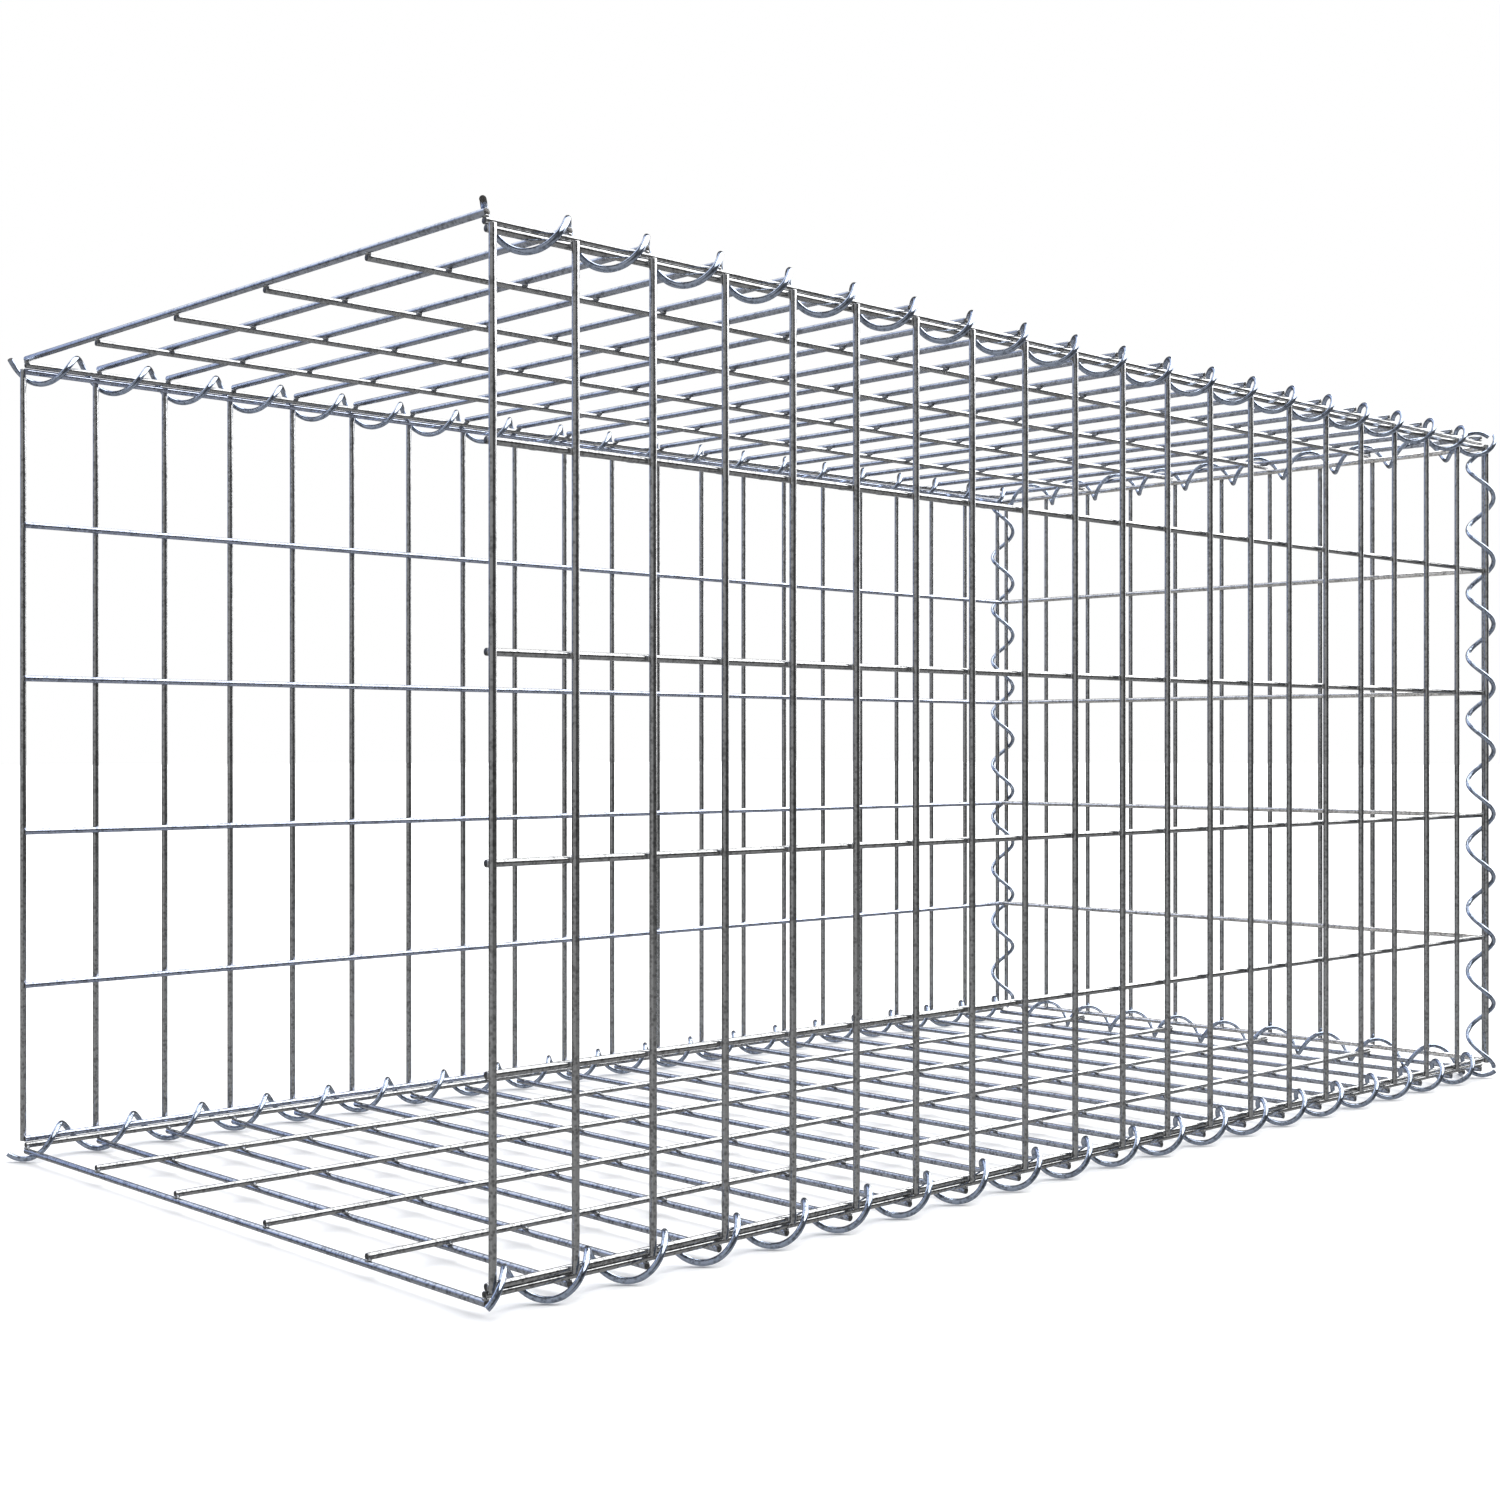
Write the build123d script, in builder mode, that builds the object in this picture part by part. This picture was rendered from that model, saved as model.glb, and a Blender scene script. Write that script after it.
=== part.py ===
# Add-on gabion basket: five welded mesh panels of galvanised wire, bound along
# their edges by eight spiral binders. The basket is added to a row of others, so
# its left end has no panel: it is bound on to the end of its neighbour there.
#
# X runs along the basket, Y from the front to the back and Z up. The origin is on
# the ground, under the middle of the mesh.
from build123d import *
import os
from math import asin, cos, degrees, hypot, pi, radians, sin, sqrt

os.makedirs("parts", exist_ok=True)

# The basket, between the centres of its outermost wires.
length = 1000.0
width = 500.0
height = 500.0

# The mesh: its cross wires stand close together, its line wires far apart.
cell_width = 50.0
cell_height = 100.0
mesh_wire = 4.0
line_overhang = 1.0
cross_overhang = 2.0

# How the panels meet: the lid's edge wire lies a little further in than the
# wire below it, with small gaps that the spirals draw up.
edge_lap = 1.5
edge_gap = 0.27
end_gap = 0.25

# The spiral binders, each wound left handed. The axes of the long ones lie inset
# from the uprights and dropped from the cross wires of the lid.
spiral_wire = 3.5
spiral_diameter = 20.0
spiral_clearance = 0.5
spiral_side_clearance = 0.9
spiral_inset = 4.5
spiral_drop = 5.0
end_spiral_slope = 52.0
upright_spiral_space = 9.75
top_end_spiral_space = 17.5

# How far the spirals run past the outermost wires before they are cut.
long_spiral_tail = 9.0
short_spiral_tail = 4.0
front_top_tail = 4.5
back_top_tail = 7.0
front_bottom_tail = 6.5
back_bottom_tail = 9.0
end_spiral_tail = 2.0
upright_spiral_tail = 5.5
upright_spiral_stop = 3.0

# The number of cells each way, and the pitch that divides each side evenly. Across
# the end, whole cells lie between two line wires of the lid, because one spiral
# passes through both panels.
columns = round(length / cell_width)
rows = round(height / cell_height)
end_lines = round(width / cell_height)
end_columns = end_lines * round(cell_height / cell_width)
column_pitch = length / columns
row_pitch = height / rows
end_column_pitch = width / end_columns
end_line_pitch = width / end_lines

# A spiral round a cross wire holds it against the inside of its turns.
radius = spiral_diameter / 2
wires_apart = (mesh_wire + spiral_wire) / 2
hold = radius - wires_apart - spiral_clearance
end_drop = hold * sin(radians(end_spiral_slope))

# Welded wires touch, one layer of wires on the other. The basket stands on its
# lowest spiral, which hangs on the last cross wire of the base.
edge_rise = sqrt((mesh_wire + edge_gap) ** 2 - edge_lap**2)
left_x = -length / 2
right_x = length / 2
side_step = mesh_wire + edge_lap
front_cross_y = -side_step - width / 2
front_line_y = front_cross_y + mesh_wire
back_cross_y = -front_cross_y
back_line_y = -front_line_y
bottom_end_z = spiral_wire / 2 + radius
base_cross_z = bottom_end_z - end_drop
base_line_z = base_cross_z + mesh_wire
bottom_z = base_line_z + edge_rise
top_z = bottom_z + height
lid_line_z = top_z + edge_rise
lid_cross_z = lid_line_z + mesh_wire
top_end_z = lid_cross_z - end_drop
end_line_x = right_x + line_overhang + end_gap + mesh_wire / 2
end_cross_x = end_line_x + mesh_wire

# Where the wires start, and their cut lengths.
line_x = left_x - line_overhang
line_length = length + 2 * line_overhang
foot_z = bottom_z - cross_overhang
upright_length = height + 2 * cross_overhang
depth_y = -width / 2 - line_overhang
depth_length = width + 2 * line_overhang
column_x = [left_x + column * column_pitch for column in range(columns + 1)]
row_z = [bottom_z + row * row_pitch for row in range(rows + 1)]
end_column_y = [column * end_column_pitch - width / 2 for column in range(end_columns + 1)]
end_line_y = [line * end_line_pitch - width / 2 for line in range(end_lines + 1)]


def straight_wires(name, starts, direction, wire_length):
    """Cut one straight wire from each start point."""
    with BuildPart() as wires:
        for start in starts:
            with BuildSketch(Plane(origin=start, z_dir=direction)):
                Circle(mesh_wire / 2)
        extrude(amount=wire_length)
    wires.part.label = name
    export_step(wires.part, "parts/" + name + ".step")


def line_wires(panel, first_edge, last_edge, starts, direction, wire_length):
    """Cut a panel's line wires, each a piece of its own, the outer two named after their edges."""
    for line, start in enumerate(starts):
        name = panel + "_line_wire_" + str(line)
        if line == 0:
            name = panel + "_" + first_edge + "_edge_wire"
        if line == len(starts) - 1:
            name = panel + "_" + last_edge + "_edge_wire"
        straight_wires(name, [start], direction, wire_length)


# Front and back panels: line wires along the inside, uprights on the outside.
front_starts = [(line_x, front_line_y, z) for z in row_z]
line_wires("front", "bottom", "top", front_starts, (1, 0, 0), line_length)
straight_wires("front_uprights", [(x, front_cross_y, foot_z) for x in column_x], (0, 0, 1), upright_length)
back_starts = [(line_x, back_line_y, z) for z in row_z]
line_wires("back", "bottom", "top", back_starts, (1, 0, 0), line_length)
straight_wires("back_uprights", [(x, back_cross_y, foot_z) for x in column_x], (0, 0, 1), upright_length)

# Lid and base: line wires along the inside, cross wires on the outside.
lid_starts = [(line_x, y, lid_line_z) for y in end_line_y]
line_wires("lid", "front", "back", lid_starts, (1, 0, 0), line_length)
straight_wires("lid_cross_wires", [(x, depth_y, lid_cross_z) for x in column_x], (0, 1, 0), depth_length)
base_starts = [(line_x, y, base_line_z) for y in end_line_y]
line_wires("base", "front", "back", base_starts, (1, 0, 0), line_length)
straight_wires("base_cross_wires", [(x, depth_y, base_cross_z) for x in column_x], (0, 1, 0), depth_length)

# Right end panel: line wires on the inside, close against the cut ends of the
# front and back panels' line wires, and uprights on the outside.
end_starts = [(end_line_x, depth_y, z) for z in row_z]
line_wires("end", "bottom", "top", end_starts, (0, 1, 0), depth_length)
end_feet = [(end_cross_x, y, foot_z) for y in end_column_y]
straight_wires("end_uprights", end_feet, (0, 0, 1), upright_length)

# A spiral is screwed through the cells along an edge. Each turn passes in through
# one panel and out through the other, clear of the wires beside it.
passing = wires_apart + spiral_side_clearance


def gate_angle(depth):
    """Angle past the quarter turn where a spiral meets a panel this far from its axis."""
    return degrees(asin(depth / radius))


def gate_space(depth, pitch):
    """Room that a turn needs, along the edge, to pass one of that panel's wires."""
    steepness = sqrt(radius**2 - depth**2)
    return passing * hypot(steepness, pitch / (2 * pi)) / steepness


def spiral(name, axis, pitch, gate, angle, start, end):
    """Wind a spiral along its axis from start to end. It meets its first gate at this angle."""
    with BuildPart() as turns:
        with BuildLine():
            path = Helix(pitch, end - start, radius, lefthand=True)
        with BuildSketch(Plane(origin=path @ 0, z_dir=path % 0)):
            Circle(spiral_wire / 2)
        sweep(is_frenet=True)
    start_angle = angle + 360 * (gate - start) / pitch
    with BuildPart() as binder:
        with Locations(axis.offset(start)):
            add(turns.part, rotation=(0, 0, start_angle))
    binder.part.label = name
    export_step(binder.part, "parts/" + name + ".step")


# The four long spirals are one size: a turn to each cell, from close beside the
# first cross wire to close beside the last.
side_angle = gate_angle(spiral_inset)
lid_angle = gate_angle(spiral_drop)
side_space = gate_space(spiral_inset, column_pitch)
lid_space = gate_space(spiral_drop, column_pitch)
inside_turn = (90 + side_angle + lid_angle) / 360
long_pitch = (length - side_space - lid_space) / (columns - 1 + inside_turn)
long_end = length + long_spiral_tail
short_end = length + short_spiral_tail


def edge_axis(y, z):
    """Axis of a long spiral, from the first upright on."""
    return Plane(origin=(left_x, y, z), x_dir=(0, 1, 0), z_dir=(1, 0, 0))


spiral_y = back_cross_y - spiral_inset
top_spiral_z = lid_cross_z - spiral_drop
bottom_spiral_z = base_cross_z + spiral_drop
front_top_axis = edge_axis(-spiral_y, top_spiral_z)
spiral("front_top_spiral", front_top_axis, long_pitch, lid_space, lid_angle, -front_top_tail, long_end)
back_top_axis = edge_axis(spiral_y, top_spiral_z)
spiral("back_top_spiral", back_top_axis, long_pitch, side_space, side_angle - 90, -back_top_tail, short_end)
front_bottom_axis = edge_axis(-spiral_y, bottom_spiral_z)
front_bottom_angle = side_angle + 90
spiral(
    "front_bottom_spiral",
    front_bottom_axis,
    long_pitch,
    side_space,
    front_bottom_angle,
    -front_bottom_tail,
    long_end,
)
back_bottom_axis = edge_axis(spiral_y, bottom_spiral_z)
back_bottom_angle = lid_angle + 180
spiral(
    "back_bottom_spiral",
    back_bottom_axis,
    long_pitch,
    lid_space,
    back_bottom_angle,
    -back_bottom_tail,
    short_end,
)

# The two upright spirals at the end hug the corner uprights of both panels, and
# take two turns to each cell.
corner_x = (right_x + end_cross_x) / 2
corner_half = hypot(end_cross_x - right_x, side_step) / 2
corner_shift = sqrt(hold**2 - corner_half**2)
upright_axis_x = corner_x - corner_shift * side_step / (2 * corner_half)
upright_inset = side_step / 2 + corner_shift * (end_cross_x - right_x) / (2 * corner_half)
upright_axis_y = back_cross_y - upright_inset
line_angle = gate_angle(upright_inset - mesh_wire)
end_angle = gate_angle(end_line_x - upright_axis_x)
upright_turn = (90 + line_angle + end_angle) / 360
upright_pitch = (height - 2 * upright_spiral_space) / (2 * rows - 1 + upright_turn)

front_end_axis = Plane(origin=(upright_axis_x, -upright_axis_y, bottom_z), x_dir=(1, 0, 0), z_dir=(0, 0, 1))
spiral(
    "front_end_spiral",
    front_end_axis,
    upright_pitch,
    upright_spiral_space,
    line_angle + 180,
    -upright_spiral_tail,
    height - upright_spiral_stop,
)
back_end_axis = Plane(origin=(upright_axis_x, upright_axis_y, bottom_z), x_dir=(1, 0, 0), z_dir=(0, 0, 1))
spiral(
    "back_end_spiral",
    back_end_axis,
    upright_pitch,
    upright_spiral_space,
    end_angle - 90,
    -short_spiral_tail,
    height + upright_spiral_stop,
)

# The spirals along the end's top and bottom edges hang on the last cross wires
# of the lid and the base. The bottom one starts inside the corner spirals.
end_axis_x = right_x + hold * cos(radians(end_spiral_slope))
outer_depth = end_cross_x - end_axis_x
inner_depth = lid_line_z - top_end_z
outer_angle = gate_angle(outer_depth)
inner_angle = gate_angle(inner_depth)
outer_space = gate_space(outer_depth, end_column_pitch)
inner_space = gate_space(inner_depth, end_column_pitch)
end_turn = (90 + outer_angle + inner_angle) / 360
top_end_pitch = (width - top_end_spiral_space - outer_space) / (end_columns - 1 + end_turn)
bottom_end_pitch = (width - inner_space - outer_space) / (end_columns - end_turn)
corner_room = spiral_inset + radius + spiral_wire + spiral_clearance - side_step

top_end_axis = Plane(origin=(end_axis_x, -width / 2, top_end_z), x_dir=(0, 0, 1), z_dir=(0, 1, 0))
spiral(
    "top_end_spiral",
    top_end_axis,
    top_end_pitch,
    top_end_spiral_space,
    inner_angle - 90,
    -end_spiral_tail,
    width + end_spiral_tail,
)
bottom_end_axis = Plane(origin=(end_axis_x, -width / 2, bottom_end_z), x_dir=(0, 0, 1), z_dir=(0, 1, 0))
spiral(
    "bottom_end_spiral",
    bottom_end_axis,
    bottom_end_pitch,
    inner_space,
    270 - inner_angle,
    corner_room,
    width - corner_room,
)
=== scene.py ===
import bpy
from math import atan2, cos, pi, radians, sin
from mathutils import Matrix, Vector


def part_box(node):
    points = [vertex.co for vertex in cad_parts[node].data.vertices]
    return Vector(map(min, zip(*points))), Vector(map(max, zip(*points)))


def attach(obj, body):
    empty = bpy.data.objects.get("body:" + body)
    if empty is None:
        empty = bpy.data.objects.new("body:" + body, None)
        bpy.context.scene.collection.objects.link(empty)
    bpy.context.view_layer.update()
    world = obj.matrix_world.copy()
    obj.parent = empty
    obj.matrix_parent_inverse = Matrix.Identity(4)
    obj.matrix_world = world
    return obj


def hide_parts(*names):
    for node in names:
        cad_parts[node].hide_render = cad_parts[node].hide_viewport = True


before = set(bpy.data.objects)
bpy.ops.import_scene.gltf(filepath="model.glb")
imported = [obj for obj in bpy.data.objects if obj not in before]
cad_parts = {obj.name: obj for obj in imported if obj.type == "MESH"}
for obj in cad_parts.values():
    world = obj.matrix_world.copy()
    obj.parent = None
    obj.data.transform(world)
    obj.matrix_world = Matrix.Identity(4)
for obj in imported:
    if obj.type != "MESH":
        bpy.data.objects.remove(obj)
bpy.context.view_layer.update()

bpy.ops.object.select_all(action="DESELECT")


# The camera stands in front of the basket's open end, level with the middle of its
# height, and looks along the diagonal at both the long side and the open end.
camera_data = bpy.data.cameras.new("camera")
camera_data.sensor_width = 36.0
camera_data.lens = 48.33
camera_data.shift_x = -0.0051
camera_data.shift_y = -0.0011
camera_data.clip_start = 0.05
camera_data.clip_end = 60.0
camera = bpy.data.objects.new("camera", camera_data)
bpy.context.collection.objects.link(camera)
camera.location = (-1.0690, -1.0241, 0.2696)
camera.rotation_euler = (radians(90), 0, radians(-44.01))
bpy.context.scene.camera = camera


# The front panel is drawn steel wire, hot dip galvanised and then welded: long line
# wires on the inside and closer uprights on the outside. Each wire is sheared off
# square, and the shear leaves its end a little rounded.
X, Y, Z = range(3)
COLUMNS = 20
ROWS = 5
WIRE = 0.004
WIRE_SIDES = 16
SHEAR = 0.00035
BARE_FACING = 0.9
SMOOTH_UNDER = radians(50)
CLOUD_SCALE = 150
SPANGLE_SCALE = 3.2 * CLOUD_SCALE
GRAIN_SCALE = 6 * CLOUD_SCALE
DARK_SHARE = 0.54


def galvanised(name, shade, tint):
    """Zinc on steel wire: a faint cloudy spangle, an uneven gloss and a fine grain."""
    steel = bpy.data.materials.new(name)
    steel.use_nodes = True
    nodes = steel.node_tree.nodes
    links = steel.node_tree.links
    surface = nodes["Principled BSDF"]
    surface.inputs["Metallic"].default_value = 1.0
    place = nodes.new("ShaderNodeTexCoord")
    cloud = nodes.new("ShaderNodeTexNoise")
    cloud.inputs["Scale"].default_value = CLOUD_SCALE
    cloud.inputs["Detail"].default_value = 3.0
    cloud.inputs["Roughness"].default_value = 0.6
    links.new(place.outputs["Object"], cloud.inputs["Vector"])
    spangle = nodes.new("ShaderNodeTexVoronoi")
    spangle.inputs["Scale"].default_value = SPANGLE_SCALE
    spangle.inputs["Randomness"].default_value = 1.0
    links.new(place.outputs["Object"], spangle.inputs["Vector"])
    both = nodes.new("ShaderNodeMix")
    both.data_type = "FLOAT"
    both.inputs["Factor"].default_value = 0.4
    links.new(cloud.outputs["Fac"], both.inputs["A"])
    links.new(spangle.outputs["Distance"], both.inputs["B"])
    colour = nodes.new("ShaderNodeValToRGB")
    colour.color_ramp.elements[0].position = 0.34
    colour.color_ramp.elements[0].color = (*[c * shade * DARK_SHARE for c in tint], 1)
    colour.color_ramp.elements[1].position = 0.54
    colour.color_ramp.elements[1].color = (*[c * shade for c in tint], 1)
    links.new(both.outputs["Result"], colour.inputs["Fac"])
    links.new(colour.outputs["Color"], surface.inputs["Base Color"])
    gloss = nodes.new("ShaderNodeMapRange")
    gloss.inputs["From Min"].default_value = 0.3
    gloss.inputs["From Max"].default_value = 0.7
    gloss.inputs["To Min"].default_value = 0.1
    gloss.inputs["To Max"].default_value = 0.18
    links.new(cloud.outputs["Fac"], gloss.inputs["Value"])
    links.new(gloss.outputs["Result"], surface.inputs["Roughness"])
    grain = nodes.new("ShaderNodeTexNoise")
    grain.inputs["Scale"].default_value = GRAIN_SCALE
    grain.inputs["Detail"].default_value = 2.0
    links.new(place.outputs["Object"], grain.inputs["Vector"])
    relief = nodes.new("ShaderNodeBump")
    relief.inputs["Strength"].default_value = 0.02
    relief.inputs["Distance"].default_value = 0.0002
    links.new(grain.outputs["Fac"], relief.inputs["Height"])
    links.new(relief.outputs["Normal"], surface.inputs["Normal"])
    return steel


def sheared(name):
    """Bare steel where the shear has torn through the zinc: matt, mottled and darker."""
    steel = bpy.data.materials.new(name)
    steel.use_nodes = True
    nodes = steel.node_tree.nodes
    links = steel.node_tree.links
    surface = nodes["Principled BSDF"]
    surface.inputs["Metallic"].default_value = 1.0
    surface.inputs["Roughness"].default_value = 0.45
    place = nodes.new("ShaderNodeTexCoord")
    torn = nodes.new("ShaderNodeTexNoise")
    torn.inputs["Scale"].default_value = 1400
    torn.inputs["Detail"].default_value = 2.0
    links.new(place.outputs["Object"], torn.inputs["Vector"])
    colour = nodes.new("ShaderNodeValToRGB")
    colour.color_ramp.elements[0].position = 0.4
    colour.color_ramp.elements[0].color = (0.10, 0.10, 0.10, 1)
    colour.color_ramp.elements[1].position = 0.65
    colour.color_ramp.elements[1].color = (0.22, 0.215, 0.21, 1)
    links.new(torn.outputs["Fac"], colour.inputs["Fac"])
    links.new(colour.outputs["Color"], surface.inputs["Base Color"])
    return steel


def finish_piece(piece, node, materials):
    """Give a finished piece its materials and its body, in place of its CAD node."""
    for material in materials:
        piece.data.materials.append(material)
    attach(piece, "root")
    if node:
        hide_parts(node)
    piece.select_set(False)


def drawn_wires(node, material, copies=1, step=(0, 0, 0)):
    """Draw one wire along its node, round its sheared ends and repeat it along the panel."""
    low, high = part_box(node)
    size = high - low - Vector(step) * (copies - 1)
    along = max((X, Y, Z), key=lambda axis: size[axis])
    turn = ((0, pi / 2, 0), (pi / 2, 0, 0), (0, 0, 0))[along]
    bpy.ops.mesh.primitive_cylinder_add(
        vertices=WIRE_SIDES,
        radius=min(size) / 2,
        depth=size[along],
        location=low + size / 2,
        rotation=turn,
    )
    wire = bpy.context.object
    wire.name = node + "_drawn"
    bpy.ops.object.transform_apply(location=True, rotation=True, scale=True)
    bpy.ops.object.mode_set(mode="EDIT")
    bpy.ops.mesh.select_all(action="DESELECT")
    bpy.ops.object.mode_set(mode="OBJECT")
    for edge in wire.data.edges:
        a, b = [wire.data.vertices[v].co[along] for v in edge.vertices]
        runs_round_an_end = abs(a - b) < SHEAR
        edge.select = runs_round_an_end
    bpy.ops.object.mode_set(mode="EDIT")
    bpy.ops.mesh.bevel(offset=SHEAR, segments=2, affect="EDGES")
    bpy.ops.mesh.select_all(action="DESELECT")
    bpy.ops.object.mode_set(mode="OBJECT")
    for face in wire.data.polygons:
        is_cut_end = abs(face.normal[along]) > BARE_FACING
        face.material_index = int(is_cut_end)
    if copies > 1:
        repeat = wire.modifiers.new("repeat", "ARRAY")
        repeat.count = copies
        repeat.use_relative_offset = False
        repeat.use_constant_offset = True
        repeat.constant_offset_displace = step
        bpy.ops.object.modifier_apply(modifier=repeat.name)
    bpy.ops.object.shade_smooth_by_angle(angle=SMOOTH_UNDER)
    finish_piece(wire, node, [material, bare_steel])


def panel_lines(panel, first_edge, last_edge, material):
    """A panel's own line wires, from one of its edges to the other."""
    inner = [panel + "_line_wire_" + str(line) for line in range(1, ROWS)]
    names = [panel + "_" + first_edge + "_edge_wire", *inner, panel + "_" + last_edge + "_edge_wire"]
    for node in names:
        drawn_wires(node, material)
    return names


def pitch_of(node, axis, cells):
    """Spacing of a node's wires, between the centres of its first and last."""
    low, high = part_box(node)
    return (high[axis] - low[axis] - WIRE) / cells


mesh_steel = galvanised("galvanised_mesh_wire", 0.49, (0.98, 0.99, 1.0))
bare_steel = sheared("bare_sheared_steel")
front_lines = panel_lines("front", "bottom", "top", mesh_steel)
column = pitch_of("front_uprights", X, COLUMNS)
drawn_wires("front_uprights", mesh_steel, COLUMNS + 1, (column, 0, 0))


# Where two wires cross, a short pulse of current melts them together. It leaves a
# low collar of squeezed zinc and steel round the point where they touch.
WELD_RADIUS = 0.0019
WELD_HALF_DEPTH = 0.0011
WELD_SEGMENTS = 12
WELD_RINGS = 6


def welds(name, lines, crosses, cells, axis, row_axis):
    """One weld collar, repeated at each crossing of a panel's line wires and cross wires."""
    line_low, line_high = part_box(lines[0])
    last_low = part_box(lines[-1])[0]
    cross_low, cross_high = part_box(crosses)
    depth_axis = X + Y + Z - axis - row_axis
    centre = (line_low + line_high + cross_low + cross_high) / 4
    centre[axis] = cross_low[axis] + WIRE / 2
    centre[row_axis] = (line_low[row_axis] + line_high[row_axis]) / 2
    size = [WELD_RADIUS] * 3
    size[depth_axis] = WELD_HALF_DEPTH
    bpy.ops.mesh.primitive_uv_sphere_add(
        segments=WELD_SEGMENTS,
        ring_count=WELD_RINGS,
        radius=1.0,
        location=centre,
        scale=size,
    )
    collar = bpy.context.object
    collar.name = name
    bpy.ops.object.transform_apply(location=True, rotation=True, scale=True)
    column_pitch = pitch_of(crosses, axis, cells)
    row_pitch = (last_low[row_axis] - line_low[row_axis]) / ROWS
    for way, count, pitch in ((axis, cells, column_pitch), (row_axis, ROWS, row_pitch)):
        offset = Vector((0, 0, 0))
        offset[way] = pitch
        repeat = collar.modifiers.new("repeat", "ARRAY")
        repeat.count = count + 1
        repeat.use_relative_offset = False
        repeat.use_constant_offset = True
        repeat.constant_offset_displace = offset
        bpy.ops.object.modifier_apply(modifier=repeat.name)
    bpy.ops.object.shade_smooth()
    finish_piece(collar, None, [mesh_steel])


welds("front_welds", front_lines, "front_uprights", COLUMNS, X, Z)


# The back panel is the same sheet of welded mesh, turned round so that its uprights
# are again on the outside. Its line wires take a lighter, bluer copy of the zinc,
# painted light that stands in for the bluish light they reflect.
painted_blue_light_steel = galvanised("galvanised_wire_painted_blue_light", 0.72, (0.74, 0.81, 1.0))
back_lines = panel_lines("back", "bottom", "top", painted_blue_light_steel)
drawn_wires("back_uprights", mesh_steel, COLUMNS + 1, (column, 0, 0))
welds("back_welds", back_lines, "back_uprights", COLUMNS, X, Z)


# The lid is the same mesh, laid on the top wires of the front and the back, just
# inside them. Its cross wires are on top. They take a lighter, bluer copy of the zinc,
# painted light that stands in for the bluish light they reflect.
painted_pale_light_steel = galvanised("galvanised_wire_painted_pale_light", 0.64, (0.84, 0.89, 1.0))
lid_lines = panel_lines("lid", "front", "back", mesh_steel)
drawn_wires("lid_cross_wires", painted_pale_light_steel, COLUMNS + 1, (column, 0, 0))
welds("lid_welds", lid_lines, "lid_cross_wires", COLUMNS, X, Y)


# The base is the lid's mesh laid the other way up, with its cross wires on the
# ground side. The front and the back stand on its two edge wires.
base_lines = panel_lines("base", "front", "back", mesh_steel)
# The cross wires take the lid's lighter, bluer copy of the zinc: painted bluish light.
drawn_wires("base_cross_wires", painted_pale_light_steel, COLUMNS + 1, (column, 0, 0))
welds("base_welds", base_lines, "base_cross_wires", COLUMNS, X, Y)


# The right end panel is half as long, with its uprights on the outside and its
# line wires close against the cut ends of the long panels' wires. Its line wires take
# a much lighter, slightly warm copy of the zinc: a painted highlight for the light
# they catch, warmed against the bluish light of the room.
END_COLUMNS = 10
painted_highlight_steel = galvanised("galvanised_wire_painted_highlight", 0.9, (1.0, 0.98, 0.95))
end_lines = panel_lines("end", "bottom", "top", painted_highlight_steel)
end_column = pitch_of("end_uprights", Y, END_COLUMNS)
drawn_wires("end_uprights", mesh_steel, END_COLUMNS + 1, (0, end_column, 0))
welds("end_welds", end_lines, "end_uprights", END_COLUMNS, Y, Z)


# The spiral binders are thinner galvanised wire, wound left handed on a mandrel and
# screwed through the cells of two panels along their edge. Nothing else joins them.
SPIRAL_WIRE = 0.0035
SPIRAL_RADIUS = 0.010
SPIRAL_SIDES = 14
STEPS_PER_TURN = 44
LONG_PITCH = 0.05088
UPRIGHT_PITCH = 0.05165
TOP_END_PITCH = 0.05112
BOTTOM_END_PITCH = 0.0504
# The coils take a lighter, bluer copy of the zinc: a painted reflection of bluish light.
spiral_steel_painted_blue_light = galvanised("galvanised_spiral_wire_painted_blue_light", 0.65, (0.74, 0.85, 1.06))


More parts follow.
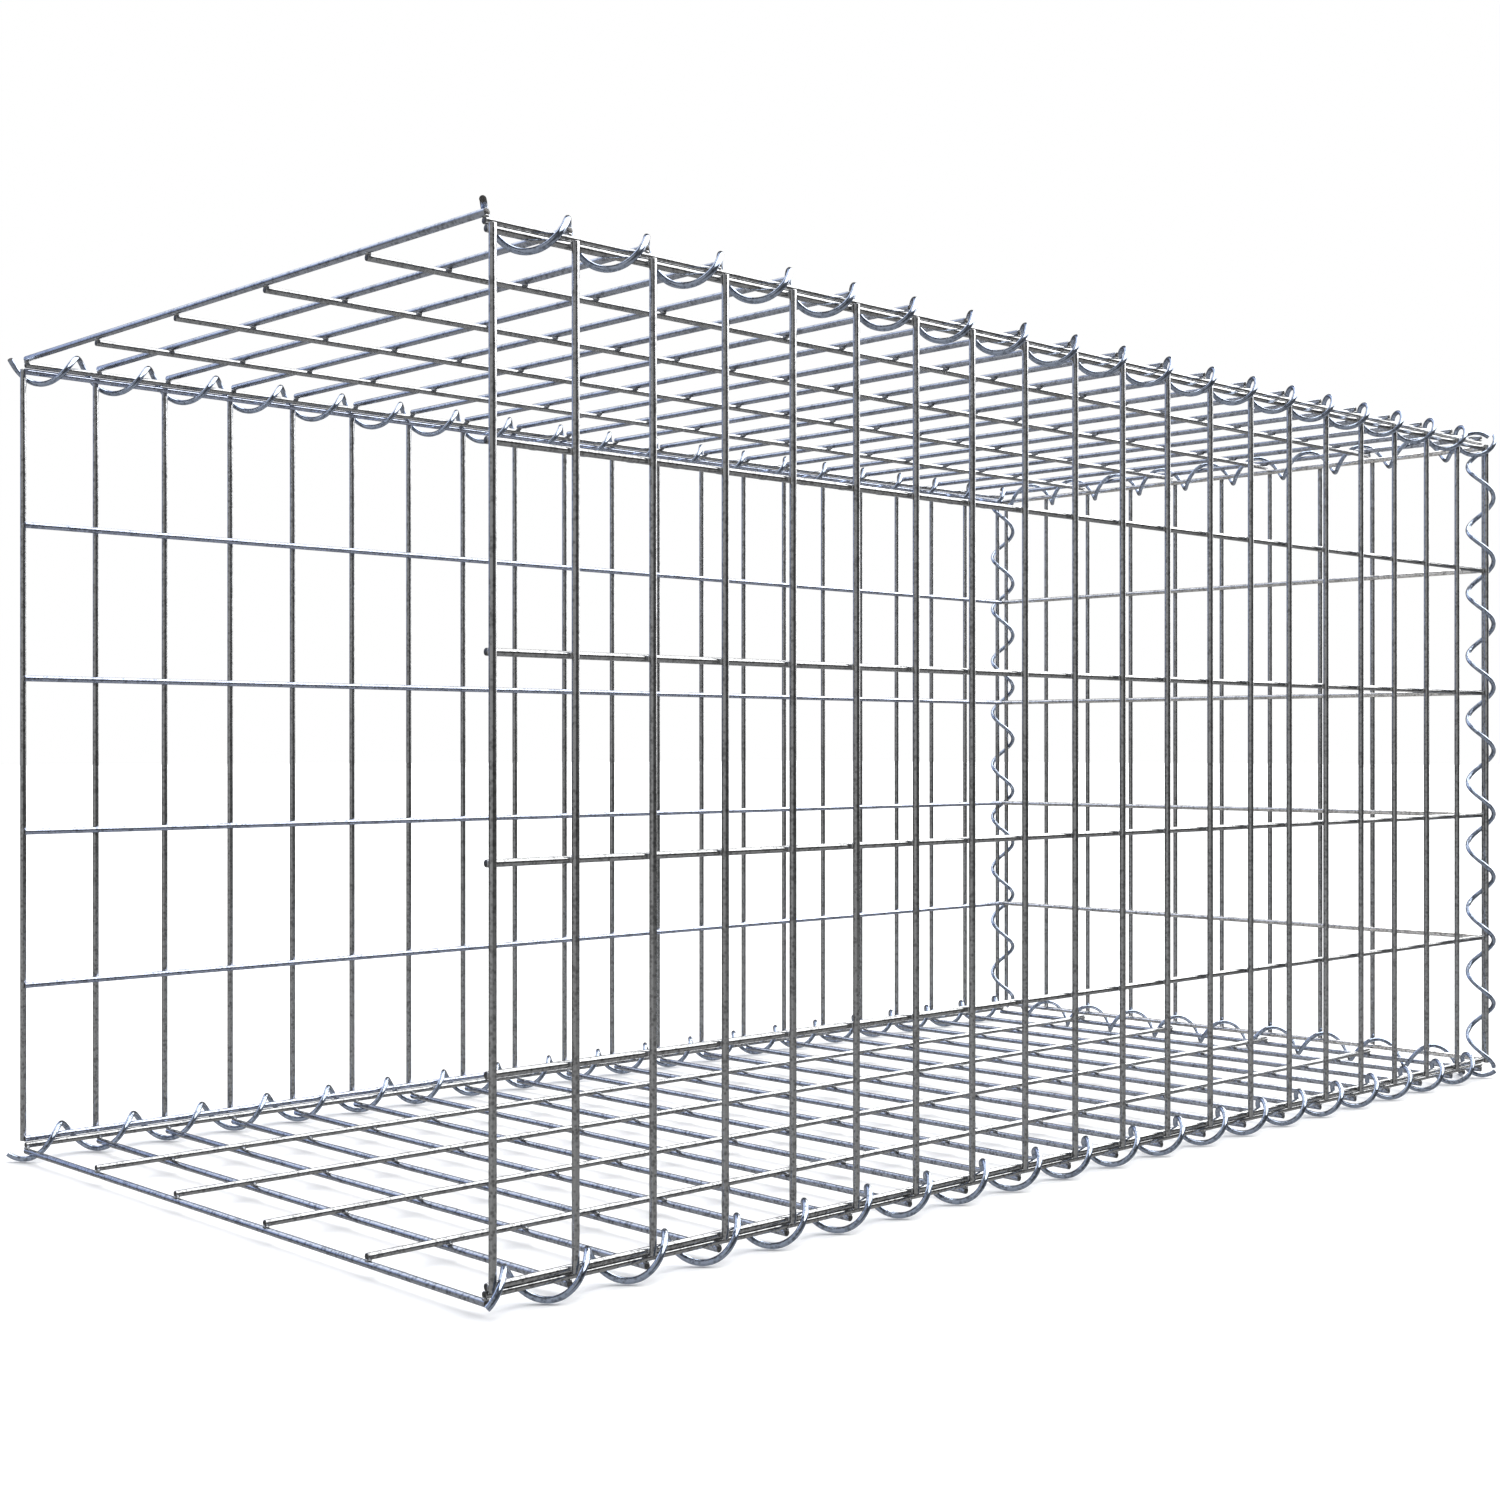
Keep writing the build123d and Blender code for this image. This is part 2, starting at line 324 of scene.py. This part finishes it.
def wind_spiral(node, axis, pitch, start_angle):
    """Wind wire along the middle of its node's box. Its start angle counts from the next axis."""
    low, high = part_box(node)
    rise = atan2(pitch, 2 * pi * SPIRAL_RADIUS)
    end_reach = SPIRAL_WIRE / 2 * cos(rise)
    length = high[axis] - low[axis] - 2 * end_reach
    start = (low + high) / 2
    start[axis] = low[axis] + end_reach
    bpy.ops.mesh.primitive_circle_add(
        vertices=SPIRAL_SIDES,
        radius=SPIRAL_WIRE / 2,
        fill_type="NOTHING",
        location=(SPIRAL_RADIUS, 0, 0),
        rotation=(pi / 2 - rise, 0, 0),
    )
    coil = bpy.context.object
    coil.name = node + "_wound"
    bpy.ops.object.transform_apply(location=True, rotation=True, scale=True)
    turns = length / pitch
    screw = coil.modifiers.new("wind", "SCREW")
    screw.axis = "Z"
    screw.angle = -2 * pi * turns
    screw.screw_offset = length
    screw.steps = round(turns * STEPS_PER_TURN)
    screw.render_steps = screw.steps
    screw.use_smooth_shade = True
    bpy.ops.object.modifier_apply(modifier=screw.name)
    bpy.ops.object.mode_set(mode="EDIT")
    bpy.ops.mesh.select_all(action="DESELECT")
    bpy.ops.mesh.select_mode(type="EDGE")
    bpy.ops.mesh.select_non_manifold(extend=False, use_wire=False, use_multi_face=False)
    bpy.ops.mesh.fill_holes(sides=0)
    bpy.ops.mesh.select_all(action="SELECT")
    bpy.ops.mesh.normals_make_consistent(inside=False)
    bpy.ops.mesh.select_all(action="DESELECT")
    bpy.ops.object.mode_set(mode="OBJECT")
    for face in coil.data.polygons:
        is_cut_end = len(face.vertices) > 4
        face.material_index = int(is_cut_end)
    axes = Matrix.Identity(3)
    forward, right, up = [axes[(axis + turn) % 3] for turn in range(3)]
    begin = right * cos(radians(start_angle)) + up * sin(radians(start_angle))
    turned = Matrix((begin, forward.cross(begin), forward)).transposed().to_4x4()
    coil.matrix_world = Matrix.Translation(start) @ turned
    bpy.ops.object.transform_apply(location=True, rotation=True, scale=True)
    bpy.ops.object.shade_smooth_by_angle(angle=SMOOTH_UNDER)
    finish_piece(coil, node, [spiral_steel_painted_blue_light, bare_steel])


wind_spiral("front_top_spiral", X, LONG_PITCH, 106.5)
wind_spiral("back_top_spiral", X, LONG_PITCH, 30.3)
wind_spiral("front_bottom_spiral", X, LONG_PITCH, 206.8)
wind_spiral("back_bottom_spiral", X, LONG_PITCH, 318.4)
wind_spiral("front_end_spiral", Z, UPRIGHT_PITCH, 295.2)
wind_spiral("back_end_spiral", Z, UPRIGHT_PITCH, 15.9)
wind_spiral("top_end_spiral", Y, TOP_END_PITCH, 50.4)
wind_spiral("bottom_end_spiral", Y, BOTTOM_END_PITCH, 216.6)


# The basket stands on a plain white floor. The wires mirror the studio and not the
# floor, so their undersides stay dark as they are in the open air.
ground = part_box("bottom_end_spiral")[0][Z]
bpy.ops.mesh.primitive_plane_add(size=60, location=(0, 0, ground))
floor = bpy.context.object
floor.name = "floor"
floor.visible_glossy = False
floor_paint = bpy.data.materials.new("white_floor")
floor_paint.use_nodes = True
paint = floor_paint.node_tree.nodes["Principled BSDF"]
paint.inputs["Base Color"].default_value = (0.94, 0.94, 0.94, 1)
paint.inputs["Roughness"].default_value = 1.0
paint.inputs["Specular IOR Level"].default_value = 0.0
floor.data.materials.append(floor_paint)


# A very wide soft light hangs overhead, a little beyond the end panel, and draws
# the white line along the top of each wire.
overhead = bpy.data.lights.new("overhead_light", "SUN")
overhead.energy = 4.2
overhead.angle = radians(80)
lamp = bpy.data.objects.new("overhead_light", overhead)
bpy.context.collection.objects.link(lamp)
lamp.rotation_euler = Vector((0.433, -0.25, 0.866)).to_track_quat("Z", "Y").to_euler()


# The rest of the studio is a dim grey room, paler below and to the left. A white
# screen beyond the end panel lights the right hand edge of the uprights, and two
# bluish ones high behind the back panel tint the cross wires and the spirals.
studio = bpy.data.worlds.new("studio")
bpy.context.scene.world = studio
studio.use_nodes = True
nodes = studio.node_tree.nodes
links = studio.node_tree.links
way = nodes.new("ShaderNodeTexCoord")
COLOUR_UNDER = 6
COLOUR_OVER = 7
COLOUR_OUT = 2


def soft_patch(behind, towards, outer, inner, colour):
    """A soft-edged patch over what is behind it: its place, the cosines of its edges, its colour."""
    facing = nodes.new("ShaderNodeVectorMath")
    facing.operation = "DOT_PRODUCT"
    facing.inputs[1].default_value = Vector(towards).normalized()
    links.new(way.outputs["Generated"], facing.inputs[0])
    edge = nodes.new("ShaderNodeMapRange")
    edge.interpolation_type = "SMOOTHSTEP"
    edge.inputs["From Min"].default_value = outer
    edge.inputs["From Max"].default_value = inner
    links.new(facing.outputs["Value"], edge.inputs["Value"])
    blend = nodes.new("ShaderNodeMix")
    blend.data_type = "RGBA"
    blend.inputs[COLOUR_OVER].default_value = (*colour, 1)
    links.new(edge.outputs["Result"], blend.inputs["Factor"])
    links.new(behind, blend.inputs[COLOUR_UNDER])
    return blend.outputs[COLOUR_OUT]


room = nodes.new("ShaderNodeRGB")
room.outputs["Color"].default_value = (0.1, 0.1, 0.1, 1)
below = soft_patch(room.outputs["Color"], (0, 0, -1), 0.05, 0.4, (0.36, 0.36, 0.36))
left = soft_patch(below, (-0.98, -0.17, 0.18), 0.5, 0.866, (0.46, 0.46, 0.46))
blue = soft_patch(left, (-0.21, 0.79, 0.57), 0.76, 0.9, (0.5, 0.6, 0.88))
pale_blue = soft_patch(blue, (-0.1, 0.72, 0.69), 0.88, 0.97, (1.3, 1.35, 1.45))
white = soft_patch(pale_blue, (0.996, 0.087, 0.45), 0.86, 0.93, (3.2, 3.2, 3.2))
links.new(white, nodes["Background"].inputs["Color"])
backdrop = nodes.new("ShaderNodeBackground")
backdrop.inputs["Color"].default_value = (1, 1, 1, 1)
seen = nodes.new("ShaderNodeLightPath")
either = nodes.new("ShaderNodeMixShader")
links.new(seen.outputs["Is Camera Ray"], either.inputs["Fac"])
links.new(nodes["Background"].outputs["Background"], either.inputs[1])
links.new(backdrop.outputs["Background"], either.inputs[2])
links.new(either.outputs["Shader"], nodes["World Output"].inputs["Surface"])
bpy.context.scene.view_settings.view_transform = "Standard"
